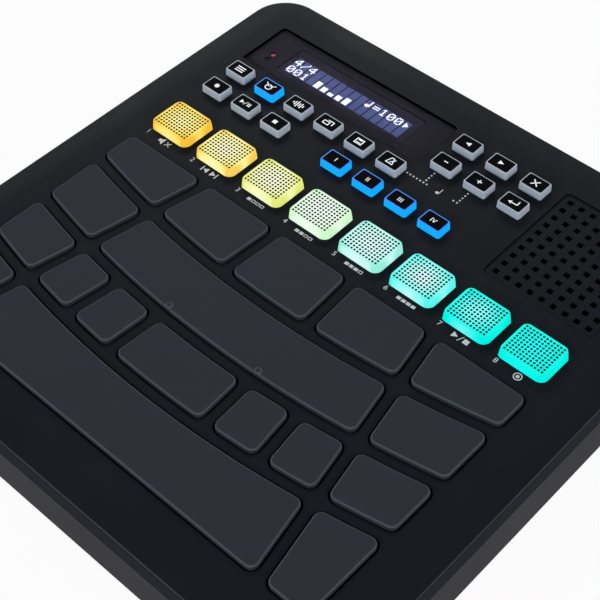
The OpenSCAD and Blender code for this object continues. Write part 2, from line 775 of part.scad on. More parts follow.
// Two sockets for small stereo plugs, each a body on the main board with a nose through the wall
module audio_jacks() {
    color("#1b1b1d")
        for (x = jack_x)
            translate([x, 0, rear_z])
                difference() {
                    union() {
                        translate([-jack_size / 2, wall_y - seat_gap - jack_length, -jack_size / 2])
                            cube([jack_size, jack_length, jack_size]);
                        translate([0, rear_y, 0])
                            rotate([90, 0, 0])
                            cylinder(r = jack_nose_r, h = wall + seat_gap + eps);
                    }
                    translate([0, rear_y + 1, 0])
                        rotate([90, 0, 0])
                        cylinder(r = jack_r, h = jack_length + 1);
                }
}

// Metal shell with a round-ended mouth and the contact tongue inside it
module usb_socket() {
    color("#b8bcc0")
        translate([usb_x, rear_y, usb_z])
        rotate([90, 0, 0]) {
            difference() {
                stadium(usb_shell.x, usb_shell.z, usb_shell.y);
                translate([0, 0, -1])
                    stadium(usb_inside.x, usb_inside.z, usb_inside.y + 1);
            }
            translate([-usb_tongue.x / 2, -usb_tongue.z / 2, usb_inside.y - usb_tongue.y])
                cube([usb_tongue.x, usb_tongue.z, usb_tongue.y + eps]);
        }
}

// Bodies of the volume control, with the bearing of its shaft, and of the power switch
module rear_controls() {
    color("#6d7076") {
        translate([dial_x, dial_y, main_top])
            difference() {
                translate([-pot_size.x / 2, -pot_size.y / 2, 0])
                    cube(pot_size);
                translate([0, 0, pot_size.z - shaft_h - 0.1])
                    cylinder(r = shaft_r + run_gap, h = pot_size.z);
            }
        translate([power_x - switch_size.x / 2, switch_front - switch_size.y, main_top])
            cube(switch_size);
    }
}

// Round cap flush in the rear wall, kept in by its lip
module power_button() {
    bevel = 0.4;
    color("#c9ccd0")
        translate([power_x, 0, rear_z])
        rotate([-90, 0, 0]) {
            translate([0, 0, power_back])
                cylinder(r = power_r - 1, h = power_stem + eps);
            translate([0, 0, power_back + power_stem])
                cylinder(r = power_r + 1, h = power_lip);
            translate([0, 0, power_back + power_stem + power_lip - eps])
                cylinder(r = power_r, h = wall + seat_gap - bevel + eps);
            translate([0, 0, rear_y - bevel])
                cylinder(r1 = power_r, r2 = power_r - bevel, h = bevel);
        }
}

// Fluted wheel that shows its rim in the scoop, on the shaft that turns in the volume control
module volume_dial() {
    flutes = 36;
    flute_r = 0.45;
    color("#2b2c30")
        translate([dial_x, dial_y, dial_low]) {
            difference() {
                cylinder(r = dial_r, h = dial_t);
                for (i = [0:flutes - 1])
                    rotate(360 * i / flutes)
                        translate([dial_r + flute_r * 0.3, 0, -1])
                        cylinder(r = flute_r, h = dial_t + 2, $fn = 24);
            }
            translate([0, 0, -seat_gap - shaft_h])
                cylinder(r = shaft_r, h = seat_gap + shaft_h + eps);
        }
}

module rubber_feet() {
    color("#141416")
        for (p = feet)
            translate([p.x, p.y, 0]) {
                cylinder(r1 = foot_r - 0.6, r2 = foot_r, h = 0.6);
                translate([0, 0, 0.6 - eps])
                    cylinder(r = foot_r, h = base_z + foot_sink - 0.6 + eps);
            }
}

module case_screws() {
    color("#8d9094")
        for (p = screws)
            translate([p.x, p.y, screw_seat])
                difference() {
                    union() {
                        translate([0, 0, -screw_head_t])
                            cylinder(r = screw_head_r, h = screw_head_t);
                        cylinder(r = screw_r, h = screw_length);
                    }
                    for (a = [0, 90])
                        rotate(a)
                            translate([-screw_r, -0.3, -screw_head_t - 1])
                            cube([2 * screw_r, 0.6, 1.8]);
                }
}

top_case();
bottom_case();
display_window();
lcd_module();
panel_board();
main_board();
speaker();
battery_pack();
audio_jacks();
usb_socket();
rear_controls();
rubber_feet();
case_screws();
volume_dial();
power_button();
drum_pad(middle_pad);  // drum_pad_middle
drum_pad(front_pad);  // drum_pad_front
for (i = [1:5]) drum_pad(back_pads[i - 1]);
for (i = [1:3]) drum_pad(left_pads[i - 1]);
for (i = [1:3]) drum_pad(right_pads[i - 1]);
for (i = [1:5]) drum_pad(inner_pads[i - 1]);
for (i = [1:lit_count]) lit_pad(i - 1);
for (i = [0:len(KEY_NAMES) - 1]) button(i);
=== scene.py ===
"""Looks of a finger drum pad: materials, printed legends and the studio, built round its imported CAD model."""

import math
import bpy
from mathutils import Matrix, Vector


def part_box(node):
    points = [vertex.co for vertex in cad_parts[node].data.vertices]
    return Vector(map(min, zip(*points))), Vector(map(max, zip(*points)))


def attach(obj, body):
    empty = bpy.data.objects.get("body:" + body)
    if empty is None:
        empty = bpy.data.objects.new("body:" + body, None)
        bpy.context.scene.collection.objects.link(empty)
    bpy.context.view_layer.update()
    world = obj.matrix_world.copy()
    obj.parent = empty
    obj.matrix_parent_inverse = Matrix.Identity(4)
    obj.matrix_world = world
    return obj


bl_info = {
    "name": "Finger drum pad",
    "version": (1, 0, 0),
    "blender": (4, 5, 0),
    "location": "View3D > Sidebar > Drum Pad",
    "description": "Dresses the CAD model of a finger drum pad and sets up its studio",
    "category": "Object",
}

import bpy
from bpy.props import FloatProperty, FloatVectorProperty, PointerProperty
from mathutils import Matrix, Vector

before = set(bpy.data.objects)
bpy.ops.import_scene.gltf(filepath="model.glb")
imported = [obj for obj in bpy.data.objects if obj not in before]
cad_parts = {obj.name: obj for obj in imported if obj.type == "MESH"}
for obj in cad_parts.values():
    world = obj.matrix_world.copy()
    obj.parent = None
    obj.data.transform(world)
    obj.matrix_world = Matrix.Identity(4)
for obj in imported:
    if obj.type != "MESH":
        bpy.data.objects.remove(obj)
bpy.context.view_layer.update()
MM = 0.001

# Sockets of a Mix node by index, because their names repeat: the share, then both inputs and the output
SHARE = 0
COLOUR_A, COLOUR_B, COLOUR_OUT = 6, 7, 2
NUMBER_A, NUMBER_B, NUMBER_OUT = 2, 3, 0

DRUM_PADS = sorted(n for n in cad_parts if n.startswith("drum_pad_"))
GLOWING_PADS = [f"lit_pad_{i}" for i in range(1, 9)]
LIT_BUTTONS = ["kit_button"] + [f"bank_button_{i}" for i in range(1, 5)]
BUTTONS = sorted(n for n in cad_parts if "_button" in n and n != "power_button")

# Colours of each glowing pad, left to right: its corners, its rim and its bright middle
GLOWS = [("#f8c03c", "#fde468", "#fffdb0"), ("#f6cf5c", "#fdf79a", "#ffffdc"),
         ("#e0e97a", "#f4f9b0", "#fcffea"), ("#cdf8c8", "#e6fae6", "#fafffc"),
         ("#98ecdc", "#c4fbf4", "#eafffd"), ("#5cf2ea", "#8afcf2", "#e6ffff"),
         ("#00f0e2", "#14f4ea", "#98ffff"), ("#00f0e0", "#02f6ea", "#1cfcfc")]

# Buttons whose sign fills more of the cap
LARGE_SIGNS = ("menu_button", "kit_button", "audio_button", "session_button", "register_button", "click_button",
               "exit_button", "enter_button")

# Widths of the lines in the signs, in millimetres
HAIR, FINE, PLAIN, BOLD = 0.3, 0.34, 0.36, 0.42


def linear(code):
    """Linear colour of an sRGB hex code."""
    parts = [int(code[i:i + 2], 16) / 255 for i in (1, 3, 5)]
    return tuple(c / 12.92 if c <= 0.04045 else ((c + 0.055) / 1.055) ** 2.4 for c in parts)


def colour_prop(name, description, code):
    """A colour that the user can change."""
    return FloatVectorProperty(name=name, description=description, subtype="COLOR", size=3, min=0.0, max=1.0,
                               default=linear(code))


def length_prop(name, description, millimetres):
    """A length that the user can change."""
    return FloatProperty(name=name, description=description, default=millimetres * MM, min=0.0, precision=5,
                         subtype="DISTANCE", unit="LENGTH")


class DrumPadColours(bpy.types.PropertyGroup):
    """Colours of the drum pad's finishes."""

    case: colour_prop("Case", "Moulded top case", "#181b20")
    # Painted highlight along the rounded edges of the top case, mixed in where the surface leans
    case_edge: colour_prop("Case edge highlight", "Painted highlight on the rounded edges of the top case", "#36393e")
    # Painted light: the upright walls take a lighter tone than the top, by how they face
    case_wall: colour_prop("Case wall painted light", "Painted lighter tone on the upright walls of the top case", "#212328")
    # Painted shade: near-black on the opening walls, which lie in deep shade
    case_gap: colour_prop("Case opening shade", "Painted shade on the walls of the openings in the top case", "#030303")
    tub: colour_prop("Tub", "Moulded lower case", "#323236")
    # Painted highlight along the lower case's top edge at the seam
    tub_edge: colour_prop("Tub edge highlight", "Painted highlight along the lower case's edge at the seam", "#3a3a3f")
    pad: colour_prop("Drum pads", "Silicone rubber of the drum pads", "#2d3037")
    # Painted highlight along the drum pads' rounded edges
    pad_edge: colour_prop("Drum pad edge highlight", "Painted highlight on the rounded edges of the drum pads", "#4c5058")
    button: colour_prop("Buttons", "Silicone rubber of the unlit buttons", "#a3adba")
    button_glow: colour_prop("Lit buttons", "Light through the lit buttons", "#08a8ff")
    button_rim_glow: colour_prop("Lit rims", "Light round the print of the lit buttons", "#1478f0")
    button_ink: colour_prop("Button print", "Black print on the buttons", "#08080a")
    legend: colour_prop("Legends", "White print on the buttons", "#eceef2")
    panel_ink: colour_prop("Panel print", "Pale print on the panel", "#c6c8cc")
    lcd_glass: colour_prop("Display glass", "Glass of the display where no cell is lit", "#33323b")
    lcd_cell: colour_prop("Display cells", "Backlit cells of the character display", "#45548c")
    lcd_dot: colour_prop("Display dots", "Lit dots of the character display", "#f2f5ff")
    window_ink: colour_prop("Window print", "Dark print on the back of the window", "#323138")
    floor: colour_prop("Floor", "Studio floor", "#cfcfcf")


class DrumPadSizes(bpy.types.PropertyGroup):
    """Sizes of the drum pad's prints and small pieces."""

    ink: length_prop("Ink", "How far a print stands on its surface", 0.02)
    panel_t: length_prop("Panel thickness", "Thickness of the top case's panel", 3.0)
    seam_height: length_prop("Seam height", "Height of the seam between the two cases", 40.7)
    dot_pitch: length_prop("Dot spacing", "Spacing of the dots on the glowing pads", 1.575)
    dot_radius: length_prop("Dot radius", "Radius of the dots on the glowing pads", 0.53)
    button_lip: length_prop("Button lip", "Reach of a button's hidden lip and flare past its top face", 1.4)
    button_rim: length_prop("Button rim", "Bare rim round a button's print", 0.55)
    numeral: length_prop("Numeral height", "Height of the numerals beside the glowing pads", 2.5)
    nub_radius: length_prop("Nub radius", "Radius of the two finger marks on the long middle pad", 1.7)
    nub_height: length_prop("Nub height", "Height of those marks", 0.5)
    view_w: length_prop("Display width", "Width of the window's clear part", 74.0)
    view_d: length_prop("Display depth", "Depth of the window's clear part", 18.5)
    cell_w: length_prop("Cell width", "Width of a display cell with its gap", 4.22)
    cell_d: length_prop("Cell depth", "Depth of a display cell with its gap", 5.45)
    cell_gap: length_prop("Cell gap", "Gap between display cells", 0.75)
    camera_distance: length_prop("Camera distance", "From the camera to the middle of its view", 551.95)


def add(tree, kind, sockets=None, **settings):
    """Adds a node with its settings; each socket takes a value or the output that feeds it."""
    made = tree.nodes.new(kind)
    for key, value in settings.items():
        setattr(made, key, value)
    for key, value in (sockets or {}).items():
        if isinstance(value, bpy.types.NodeSocket):
            tree.links.new(value, made.inputs[key])
        else:
            made.inputs[key].default_value = value
    return made


def principled(name, colour, roughness, **sockets):
    """A new material with its shader's plain values set."""
    material = bpy.data.materials.new(name)
    material.use_nodes = True
    tree = material.node_tree
    shader = tree.nodes["Principled BSDF"]
    shader.inputs["Base Color"].default_value = (*colour, 1)
    shader.inputs["Roughness"].default_value = roughness
    for key, value in sockets.items():
        shader.inputs[key.replace("_", " ")].default_value = value
    return material, tree, shader


def grained(name, colour, roughness, grain_mm, depth_mm, patch_mm=35.0, tone=0.12, wear=0.06, **sockets):
    """A moulded surface: fine grain as bump, and broad patches that vary its tone and roughness a little."""
    material, tree, shader = principled(name, colour, roughness, **sockets)
    place = add(tree, "ShaderNodeTexCoord").outputs["Object"]
    grain = add(tree, "ShaderNodeTexNoise", {"Vector": place, "Scale": 1 / (grain_mm * MM), "Detail": 2.0})
    bump = add(tree, "ShaderNodeBump", {"Height": grain.outputs["Fac"], "Distance": depth_mm * MM,
                                        "Strength": 1.0})
    tree.links.new(bump.outputs["Normal"], shader.inputs["Normal"])
    patch = add(tree, "ShaderNodeTexNoise", {"Vector": place, "Scale": 1 / (patch_mm * MM), "Detail": 3.0})
    # Nearly all of the noise lies between these two values
    rough = add(tree, "ShaderNodeMapRange", {"Value": patch.outputs["Fac"], "From Min": 0.3, "From Max": 0.7,
                                             "To Min": roughness - wear, "To Max": roughness + wear})
    tree.links.new(rough.outputs["Result"], shader.inputs["Roughness"])
    shade = add(tree, "ShaderNodeMix", {SHARE: patch.outputs["Fac"],
                                        COLOUR_A: (*[c * (1 - tone) for c in colour], 1),
                                        COLOUR_B: (*[min(1, c * (1 + tone)) for c in colour], 1)},
                data_type="RGBA")
    tree.links.new(shade.outputs[COLOUR_OUT], shader.inputs["Base Color"])
    return material


def blended(material, socket, share, value):
    """Mixes another value into what feeds a shader's socket."""
    tree = material.node_tree
    target = tree.nodes["Principled BSDF"].inputs[socket]
    before = target.links[0].from_socket
    if socket == "Base Color":
        kind, first, second, result = "RGBA", COLOUR_A, COLOUR_B, COLOUR_OUT
    else:
        kind, first, second, result = "FLOAT", NUMBER_A, NUMBER_B, NUMBER_OUT
    mix = add(tree, "ShaderNodeMix", {SHARE: share, first: before, second: value}, data_type=kind)
    tree.links.new(mix.outputs[result], target)


def by_height(material, low, high):
    """Share that grows from 0 at one level to 1 at another, both in metres."""
    tree = material.node_tree
    axes = add(tree, "ShaderNodeSeparateXYZ", {0: add(tree, "ShaderNodeTexCoord").outputs["Object"]})
    return add(tree, "ShaderNodeMapRange", {"Value": axes.outputs["Z"], "From Min": low,
                                            "From Max": high}).outputs["Result"]


def leaning(material, colour, shares, roughness=None):
    """Mixes another tone into a finish by how its surface leans, for painted highlights, light and shade: its
    share at each height of the normal.
    """
    tree = material.node_tree
    tilt = add(tree, "ShaderNodeSeparateXYZ", {0: add(tree, "ShaderNodeNewGeometry").outputs["True Normal"]})
    ramp = add(tree, "ShaderNodeValToRGB", {"Fac": tilt.outputs["Z"]})
    stops = ramp.color_ramp.elements
    for i, (height, share) in enumerate(shares):
        stop = stops[i] if i < 2 else stops.new(height)
        stop.position, stop.color = height, (share, share, share, 1)
    blended(material, "Base Color", ramp.outputs["Color"], colour)
    if roughness is not None:
        blended(material, "Roughness", ramp.outputs["Color"], roughness)


def dress(names, material):
    """Gives CAD nodes a finish in all their material slots."""
    for name in names:
        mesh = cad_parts[name].data
        if not mesh.materials:
            mesh.materials.append(material)
        for i in range(len(mesh.materials)):
            mesh.materials[i] = material


def middle(name):
    """Plan centre of a CAD node, in metres."""
    low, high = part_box(name)
    return (low.x + high.x) / 2, (low.y + high.y) / 2


def top_of(name):
    """Height of a CAD node's highest point, in metres."""
    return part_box(name)[1].z


def piece(name, points, faces, material, body):
    """A new mesh object that rides on a CAD body."""
    mesh = bpy.data.meshes.new(name)
    mesh.from_pydata(points, [], faces)
    mesh.validate()
    mesh.materials.append(material)
    made = bpy.data.objects.new(name, mesh)
    bpy.context.scene.collection.objects.link(made)
    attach(made, body)
    return made


def printed(name, outlines, low, high, material, body):
    """Flat print: each outline, in millimetres, becomes a thin closed plate between two heights in metres."""
    points, faces = [], []
    for outline in outlines:
        base, n = len(points), len(outline)
        points += [(x * MM, y * MM, low) for x, y in outline]
        points += [(x * MM, y * MM, high) for x, y in outline]
        faces.append(tuple(base + n + i for i in range(n)))
        faces.append(tuple(base + i for i in reversed(range(n))))
        faces += [(base + i, base + (i + 1) % n, base + n + (i + 1) % n, base + n + i) for i in range(n)]
    return piece(name, points, faces, material, body)


def bar(x, y, w, h):
    """Outline of a rectangle."""
    return [(x - w / 2, y - h / 2), (x + w / 2, y - h / 2), (x + w / 2, y + h / 2), (x - w / 2, y + h / 2)]


def disc(x, y, r, sides=24):
    """Outline of a disc."""
    return [(x + r * math.cos(2 * math.pi * i / sides), y + r * math.sin(2 * math.pi * i / sides))
            for i in range(sides)]


def rounded(x, y, w, h, r, steps=5):
    """Outline of a rectangle with round corners."""
    outline = []
    for k, (sx, sy) in enumerate(((1, 1), (-1, 1), (-1, -1), (1, -1))):
        for i in range(steps + 1):
            a = math.pi / 2 * (k + i / steps)
            outline.append((x + sx * (w / 2 - r) + r * math.cos(a), y + sy * (h / 2 - r) + r * math.sin(a)))
    return outline


def stroke(points, width):
    """Outlines of a pen line through points, with round ends and joints."""
    outlines = [disc(x, y, width / 2, sides=12) for x, y in points]
    for (x0, y0), (x1, y1) in zip(points, points[1:]):
        length = math.hypot(x1 - x0, y1 - y0)
        nx, ny = (y0 - y1) / length * width / 2, (x1 - x0) / length * width / 2
        outlines.append([(x0 - nx, y0 - ny), (x1 - nx, y1 - ny), (x1 + nx, y1 + ny), (x0 + nx, y0 + ny)])
    return outlines


def ring(x, y, r, width, steps=24):
    """Outlines of a ring, one for each step round it."""
    turn = [2 * math.pi * i / steps for i in range(steps + 1)]
    a, b = r - width / 2, r + width / 2
    return [[(x + a * math.cos(p), y + a * math.sin(p)), (x + b * math.cos(p), y + b * math.sin(p)),
             (x + b * math.cos(q), y + b * math.sin(q)), (x + a * math.cos(q), y + a * math.sin(q))]
            for p, q in zip(turn, turn[1:])]


def arrow_head(x, y, w, h, way=1):
    """Outline of a solid triangle that points right, or left where way is -1."""
    corners = [(x - way * w / 2, y - h / 2), (x + way * w / 2, y), (x - way * w / 2, y + h / 2)]
    return corners if way > 0 else corners[::-1]


def frame_of(x, y, w, h, line):
    """Outlines of an open rectangle drawn with a line."""
    return [bar(x, y + s * (h - line) / 2, w, line) for s in (-1, 1)] + \
        [bar(x + s * (w - line) / 2, y, line, h - 2 * line) for s in (-1, 1)]


def numeral_bars(count, height, pitch):
    """Upright strokes of a plain numeral."""
    return [bar((i - (count - 1) / 2) * pitch, 0, FINE, height) for i in range(count)]


def box_row(filled, count=4, pitch=2.4, w=1.9, h=1.5):
    """Outlines of a row of boxes, the first ones solid and the others open."""
    places = [(i - (count - 1) / 2) * pitch for i in range(count)]
    solid = [bar(x, 0, w, h) for x in places[:filled]]
    return solid + [side for x in places[filled:] for side in frame_of(x, 0, w, h, HAIR)]


# Sign drawn for each button, in millimetres from the button's centre
LEGENDS = {
    "menu_button": [bar(0, y, 3.4, BOLD) for y in (-0.95, 0, 0.95)],
    "kit_button": ring(0, -0.25, 1.15, PLAIN) + stroke([(-1.9, 1.35), (-0.35, 0.1)], FINE)
    + stroke([(1.9, 1.35), (0.35, 0.1)], FINE),
    "audio_button": [bar(0.8 * i - 2, 0, 0.4, h) for i, h in enumerate((0.8, 1.9, 2.9, 1.6, 2.4, 1))],
    "session_button": frame_of(-0.65, -0.35, 2.5, 1.7, FINE)
    + [bar(0.55, 1.0, 2.6, FINE), bar(1.68, 0.1, FINE, 1.5)],
    "register_button": frame_of(0, 0, 3.0, 2.5, PLAIN) + [bar(0, 0.65, 1.5, 0.5), bar(0, -0.55, 1.7, PLAIN)],
    "click_button": stroke([(-1.3, -1.2), (-0.5, 1.25), (0.5, 1.25), (1.3, -1.2), (-1.3, -1.2)], FINE)
    + stroke([(0, -0.7), (1.25, 1.0)], FINE),
    "record_button": [disc(0, 0, 1.05)],
    "play_button": [arrow_head(-1.7, 0, 1.9, 2.0)] + stroke([(-0.55, -1.05), (0.45, 1.05)], HAIR)
    + [bar(1.35, 0, 0.5, 1.9), bar(2.25, 0, 0.5, 1.9)],
    "stop_button": [bar(0, 0, 1.9, 1.9)],
    "bank_button_1": numeral_bars(1, 2.0, 0.8),
    "bank_button_2": numeral_bars(2, 2.0, 0.85),
    "bank_button_3": numeral_bars(3, 2.0, 0.85),
    "bank_button_4": [bar(-1.1, 0, FINE, 2.0)] + stroke([(-0.45, 0.85), (0.25, -0.85), (0.95, 0.85)], FINE),
    "left_button": [arrow_head(0, 0, 2.2, 2.1, -1)],
    "right_button": [arrow_head(0, 0, 2.2, 2.1)],
    "exit_button": stroke([(-1.05, -1.05), (1.05, 1.05)], BOLD) + stroke([(-1.05, 1.05), (1.05, -1.05)], BOLD),
    "minus_button": [bar(0, 0, 1.9, BOLD)],
    "plus_button": [bar(0, 0, 2.2, BOLD), bar(0, 0.66, BOLD, 0.9), bar(0, -0.66, BOLD, 0.9)],
    "enter_button": stroke([(1.5, 1.1), (1.5, -0.45), (-0.9, -0.45)], 0.4)
    + [arrow_head(-1.2, -0.45, 1.2, 1.5, -1)],
}

# Signs printed in front of the glowing pads: silence, skip, one to four boxes, start and stop, a ring
PAD_SIGNS = {
    1: [bar(-2.4, 0, 1.0, 1.3), [(-1.9, -0.65), (-0.7, -1.6), (-0.7, 1.6), (-1.9, 0.65)]]
    + stroke([(0.5, -0.9), (2.3, 0.9)], PLAIN) + stroke([(0.5, 0.9), (2.3, -0.9)], PLAIN),
    2: [bar(-3.2, 0, 0.45, 2.4), arrow_head(-1.7, 0, 2.0, 2.4, -1), arrow_head(1.7, 0, 2.0, 2.4),
        bar(3.2, 0, 0.45, 2.4)],
    3: box_row(1),
    4: box_row(2),
    5: box_row(3),
    6: box_row(4),
    7: [arrow_head(-2.1, 0, 2.1, 2.3)] + stroke([(-0.5, -1.2), (0.5, 1.2)], HAIR) + [bar(2.1, 0, 1.9, 1.9)],
    8: ring(0, 0, 1.3, PLAIN) + [disc(0, 0, 0.6)],
}
NOTE_SIGN = [[(0.85 * px - 0.3, 0.62 * py - 0.9) for px, py in disc(0, 0, 1.1)], bar(0.5, 0.6, PLAIN, 3.0)]

# Dots of the characters on the display, seven rows from the top and five columns
CHARACTERS = {
    "": "",
    "0": "01110 10001 10011 10101 11001 10001 01110",
    "1": "00100 01100 00100 00100 00100 00100 01110",
    "4": "00010 00110 01010 10010 11111 00010 00010",
    "/": "00001 00001 00010 00100 01000 10000 10000",
    "=": "00000 00000 11111 00000 11111 00000 00000",
    "note": "00010 00010 00010 00010 01110 11110 01100",
    "play": "00000 01000 01100 01110 01100 01000 00000",
    "low": "00000 00000 00000 00000 11110 11110 11110",
    "half": "00000 00000 11110 11110 11110 11110 11110",
    "full": "11110 11110 11110 11110 11110 11110 11110",
}
TOP_LINE = ["4", "/", "4"] + [""] * 7 + ["note", "=", "1", "0", "0", "play"]
LOW_LINE = ["0", "0", "1", "", "full", "half", "low", "half", "full"] + [""] * 7


class DRUMPAD_OT_cases(bpy.types.Operator):
    """Finish of the two cases, their feet and their screws"""

    bl_idname = "drumpad.cases"
    bl_label = "Cases"

    # Millimetres: the height over which the painted shade of the openings sets in, and the depths below the
    # seam where its painted highlight starts and is full
    gap_fade = 0.6
    seam_fade = (1.3, 0.3)

    def execute(self, context):
        colours, sizes = context.scene.drum_pad_colours, context.scene.drum_pad_sizes
        # ABS moulded against a spark-eroded tool: a dry, even surface that only glows at grazing light.
        # The real grain of about 0.1 mm is drawn at 0.35 mm, as fine as the render can show.
        black = grained("ABS spark-textured black", colours.case, roughness=0.46, grain_mm=0.35, depth_mm=0.006,
                        IOR=1.53, Specular_IOR_Level=0.025)
        # A painted highlight makes the rounded edges paler, while the upright walls keep the tool's full
        # roughness
        leaning(black, (*colours.case_edge, 1), ((0.2, 0.0), (0.92, 0.0), (0.35, 1.0), (0.7, 1.0)))
        # Hardly any light comes back from the narrow openings in the panel, so their walls are painted
        # near-black as shade
        under = top_of("top_case") - sizes.panel_t
        upper = by_height(black, under, under + self.gap_fade * MM)
        wall = add(black.node_tree, "ShaderNodeMix", {SHARE: upper, COLOUR_A: (*colours.case_wall, 1),
                                                      COLOUR_B: (*colours.case_gap, 1)}, data_type="RGBA")
        # Upright faces take the painted lighter tone, or the painted shade in the openings, and a rougher
        # finish
        leaning(black, wall.outputs[COLOUR_OUT], ((0.05, 1.0), (0.25, 0.0)), roughness=0.95)
        dress(["top_case"], black)
        # The same moulding in a lighter grey, a little drier, with a painted highlight that makes its edge at
        # the seam paler
        grey = grained("ABS spark-textured grey", colours.tub, roughness=0.6, grain_mm=0.35, depth_mm=0.008,
                       IOR=1.53, Specular_IOR_Level=0.02)
        start, full = (sizes.seam_height - depth * MM for depth in self.seam_fade)
        blended(grey, "Base Color", by_height(grey, start, full), (*colours.tub_edge, 1))
        dress(["bottom_case"], grey)
        # Pressed rubber, dull and slightly dusty
        dress(["rubber_feet"], grained(
            "Rubber pressed black", linear("#141416"), roughness=0.75, grain_mm=0.5, depth_mm=0.02, patch_mm=6))
        # Zinc-plated steel, turned and thread-rolled
        dress(["case_screws"], grained(
            "Steel zinc-plated", linear("#9a9da2"), roughness=0.35, grain_mm=0.25, depth_mm=0.004, patch_mm=2,
            Metallic=1.0))
        return {"FINISHED"}


class DRUMPAD_OT_drum_pads(bpy.types.Operator):
    """Finish of the drum pads and the two finger marks on the long middle pad"""

    bl_idname = "drumpad.drum_pads"
    bl_label = "Drum pads"

    # Places of the finger marks in plan, in millimetres
    marks = {"finger_mark_left": (-23.9, -45.2), "finger_mark_right": (23.9, -45.2)}

    def execute(self, context):
        colours, sizes = context.scene.drum_pad_colours, context.scene.drum_pad_sizes
        # Silicone rubber moulded matt: soft broad sheen, a touch bluish, with a painted highlight along its
        # rounded edges
        rubber = grained("Silicone rubber moulded matt", colours.pad, roughness=0.62, grain_mm=0.3,
                         depth_mm=0.004, patch_mm=28, tone=0.05, wear=0.04, IOR=1.41, Specular_IOR_Level=0.05)
        leaning(rubber, (*colours.pad_edge, 1), ((0.2, 0.0), (0.995, 0.0), (0.55, 0.55), (0.92, 1.0)))
        dress(DRUM_PADS, rubber)
        for name, (x, y) in self.marks.items():
            at = (x * MM, y * MM, top_of("drum_pad_middle"))
            self.nub(name, at, sizes.nub_radius, sizes.nub_height, rubber)
        return {"FINISHED"}

    def nub(self, name, at, radius, height, rubber):
        """A shallow round bump that a finger can feel, moulded in one with the pad."""
        rings, sides, sink = 6, 24, 0.1 * MM
        points = [(at[0], at[1], at[2] + height)]
        for k in range(1, rings + 1):
            a = math.pi / 2 * k / rings
            points += [(at[0] + radius * math.sin(a) * math.cos(2 * math.pi * i / sides),
                        at[1] + radius * math.sin(a) * math.sin(2 * math.pi * i / sides),
                        at[2] - sink + (height + sink) * math.cos(a)) for i in range(sides)]
        faces = [(0, 1 + i, 1 + (i + 1) % sides) for i in range(sides)]
        for k in range(rings - 1):
            a, b = 1 + k * sides, 1 + (k + 1) * sides
            faces += [(a + i, b + i, b + (i + 1) % sides, a + (i + 1) % sides) for i in range(sides)]
        last = 1 + (rings - 1) * sides
        faces.append(tuple(last + i for i in reversed(range(sides))))
        piece(name, points, faces, rubber, "drum_pad_middle")


def glow_material(number, corner, rim, heart, centre, half):
    """Translucent silicone lit from below: deepest at its corners and nearly white over the lamp."""
    # The rubber's own colour is faint beside its glow
    dye = [c * 0.12 for c in linear(corner)]
    material, tree, shader = principled(f"Silicone translucent glow {number}", dye, roughness=0.45, IOR=1.41,
                                        Specular_IOR_Level=0.15, Emission_Strength=0.92)
    place = add(tree, "ShaderNodeTexCoord").outputs["Object"]
    offset = add(tree, "ShaderNodeVectorMath", {0: place, 1: (*centre, 0)}, operation="SUBTRACT")
    span = add(tree, "ShaderNodeVectorMath", {0: offset.outputs["Vector"], 1: (1 / half[0], 1 / half[1], 0)},
               operation="MULTIPLY")
    reach = add(tree, "ShaderNodeVectorMath", {0: span.outputs["Vector"]}, operation="LENGTH")
    # On its sides the glow starts nearer to the rim's tone, falls along each edge and is weaker left and right
    side_start, side_fall, flank_loss = 0.35, 0.75, 0.4
    extent = add(tree, "ShaderNodeVectorMath", {0: span.outputs["Vector"]}, operation="ABSOLUTE")
    axes = add(tree, "ShaderNodeSeparateXYZ", {0: extent.outputs["Vector"]})
    along = add(tree, "ShaderNodeMath", {0: axes.outputs["X"], 1: axes.outputs["Y"]}, operation="MINIMUM")
    fade = add(tree, "ShaderNodeMath", {0: along.outputs[0], 1: side_fall, 2: side_start},
               operation="MULTIPLY_ADD")
    tilt = add(tree, "ShaderNodeSeparateXYZ", {0: add(tree, "ShaderNodeNewGeometry").outputs["True Normal"]})
    across = add(tree, "ShaderNodeMath", {0: tilt.outputs["X"]}, operation="ABSOLUTE")
    side = add(tree, "ShaderNodeMath", {0: across.outputs[0], 1: flank_loss, 2: fade.outputs[0]},
               operation="MULTIPLY_ADD")
    face = add(tree, "ShaderNodeMix", {SHARE: tilt.outputs["Z"], NUMBER_A: side.outputs[0],
                                       NUMBER_B: reach.outputs["Value"]})
    ramp = add(tree, "ShaderNodeValToRGB", {"Fac": face.outputs[NUMBER_OUT]})
    stops = ramp.color_ramp.elements
    # Each tone's distance from the middle, as a share of the half width
    heart_at, rim_at, corner_at = 0.05, 0.8, 1.0
    stops[0].position, stops[0].color = heart_at, (*linear(heart), 1)
    stops[1].position, stops[1].color = corner_at, (*linear(corner), 1)
    stops.new(rim_at).color = (*linear(rim), 1)
    tree.links.new(ramp.outputs["Color"], shader.inputs["Emission Color"])
    return material


class DRUMPAD_OT_glowing_pads(bpy.types.Operator):
    """Finish of the eight glowing pads and the dots printed on them"""

    bl_idname = "drumpad.glowing_pads"
    bl_label = "Glowing pads"

    def execute(self, context):
        sizes = context.scene.drum_pad_sizes
        # Black screen print, thin and half matt
        ink = grained("Ink screen-printed dots", linear("#07090a"), roughness=0.5, grain_mm=0.1, depth_mm=0.001,
                      patch_mm=3, Specular_IOR_Level=0.03)
        columns, rows, sides = 12, 10, 12
        pitch, radius = sizes.dot_pitch / MM, sizes.dot_radius / MM
        for number, (name, glow) in enumerate(zip(GLOWING_PADS, GLOWS), 1):
            low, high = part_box(name)
            x, y = middle(name)
            dress([name], glow_material(number, *glow, (x, y), ((high.x - low.x) / 2, (high.y - low.y) / 2)))
            left, front = x / MM - (columns - 1) / 2 * pitch, y / MM - (rows - 1) / 2 * pitch
            dots = [disc(left + c * pitch, front + r * pitch, radius, sides)
                    for c in range(columns) for r in range(rows)]
            printed(f"glowing_pad_dots_{number}", dots, high.z - sizes.ink, high.z + sizes.ink, ink, name)
        return {"FINISHED"}


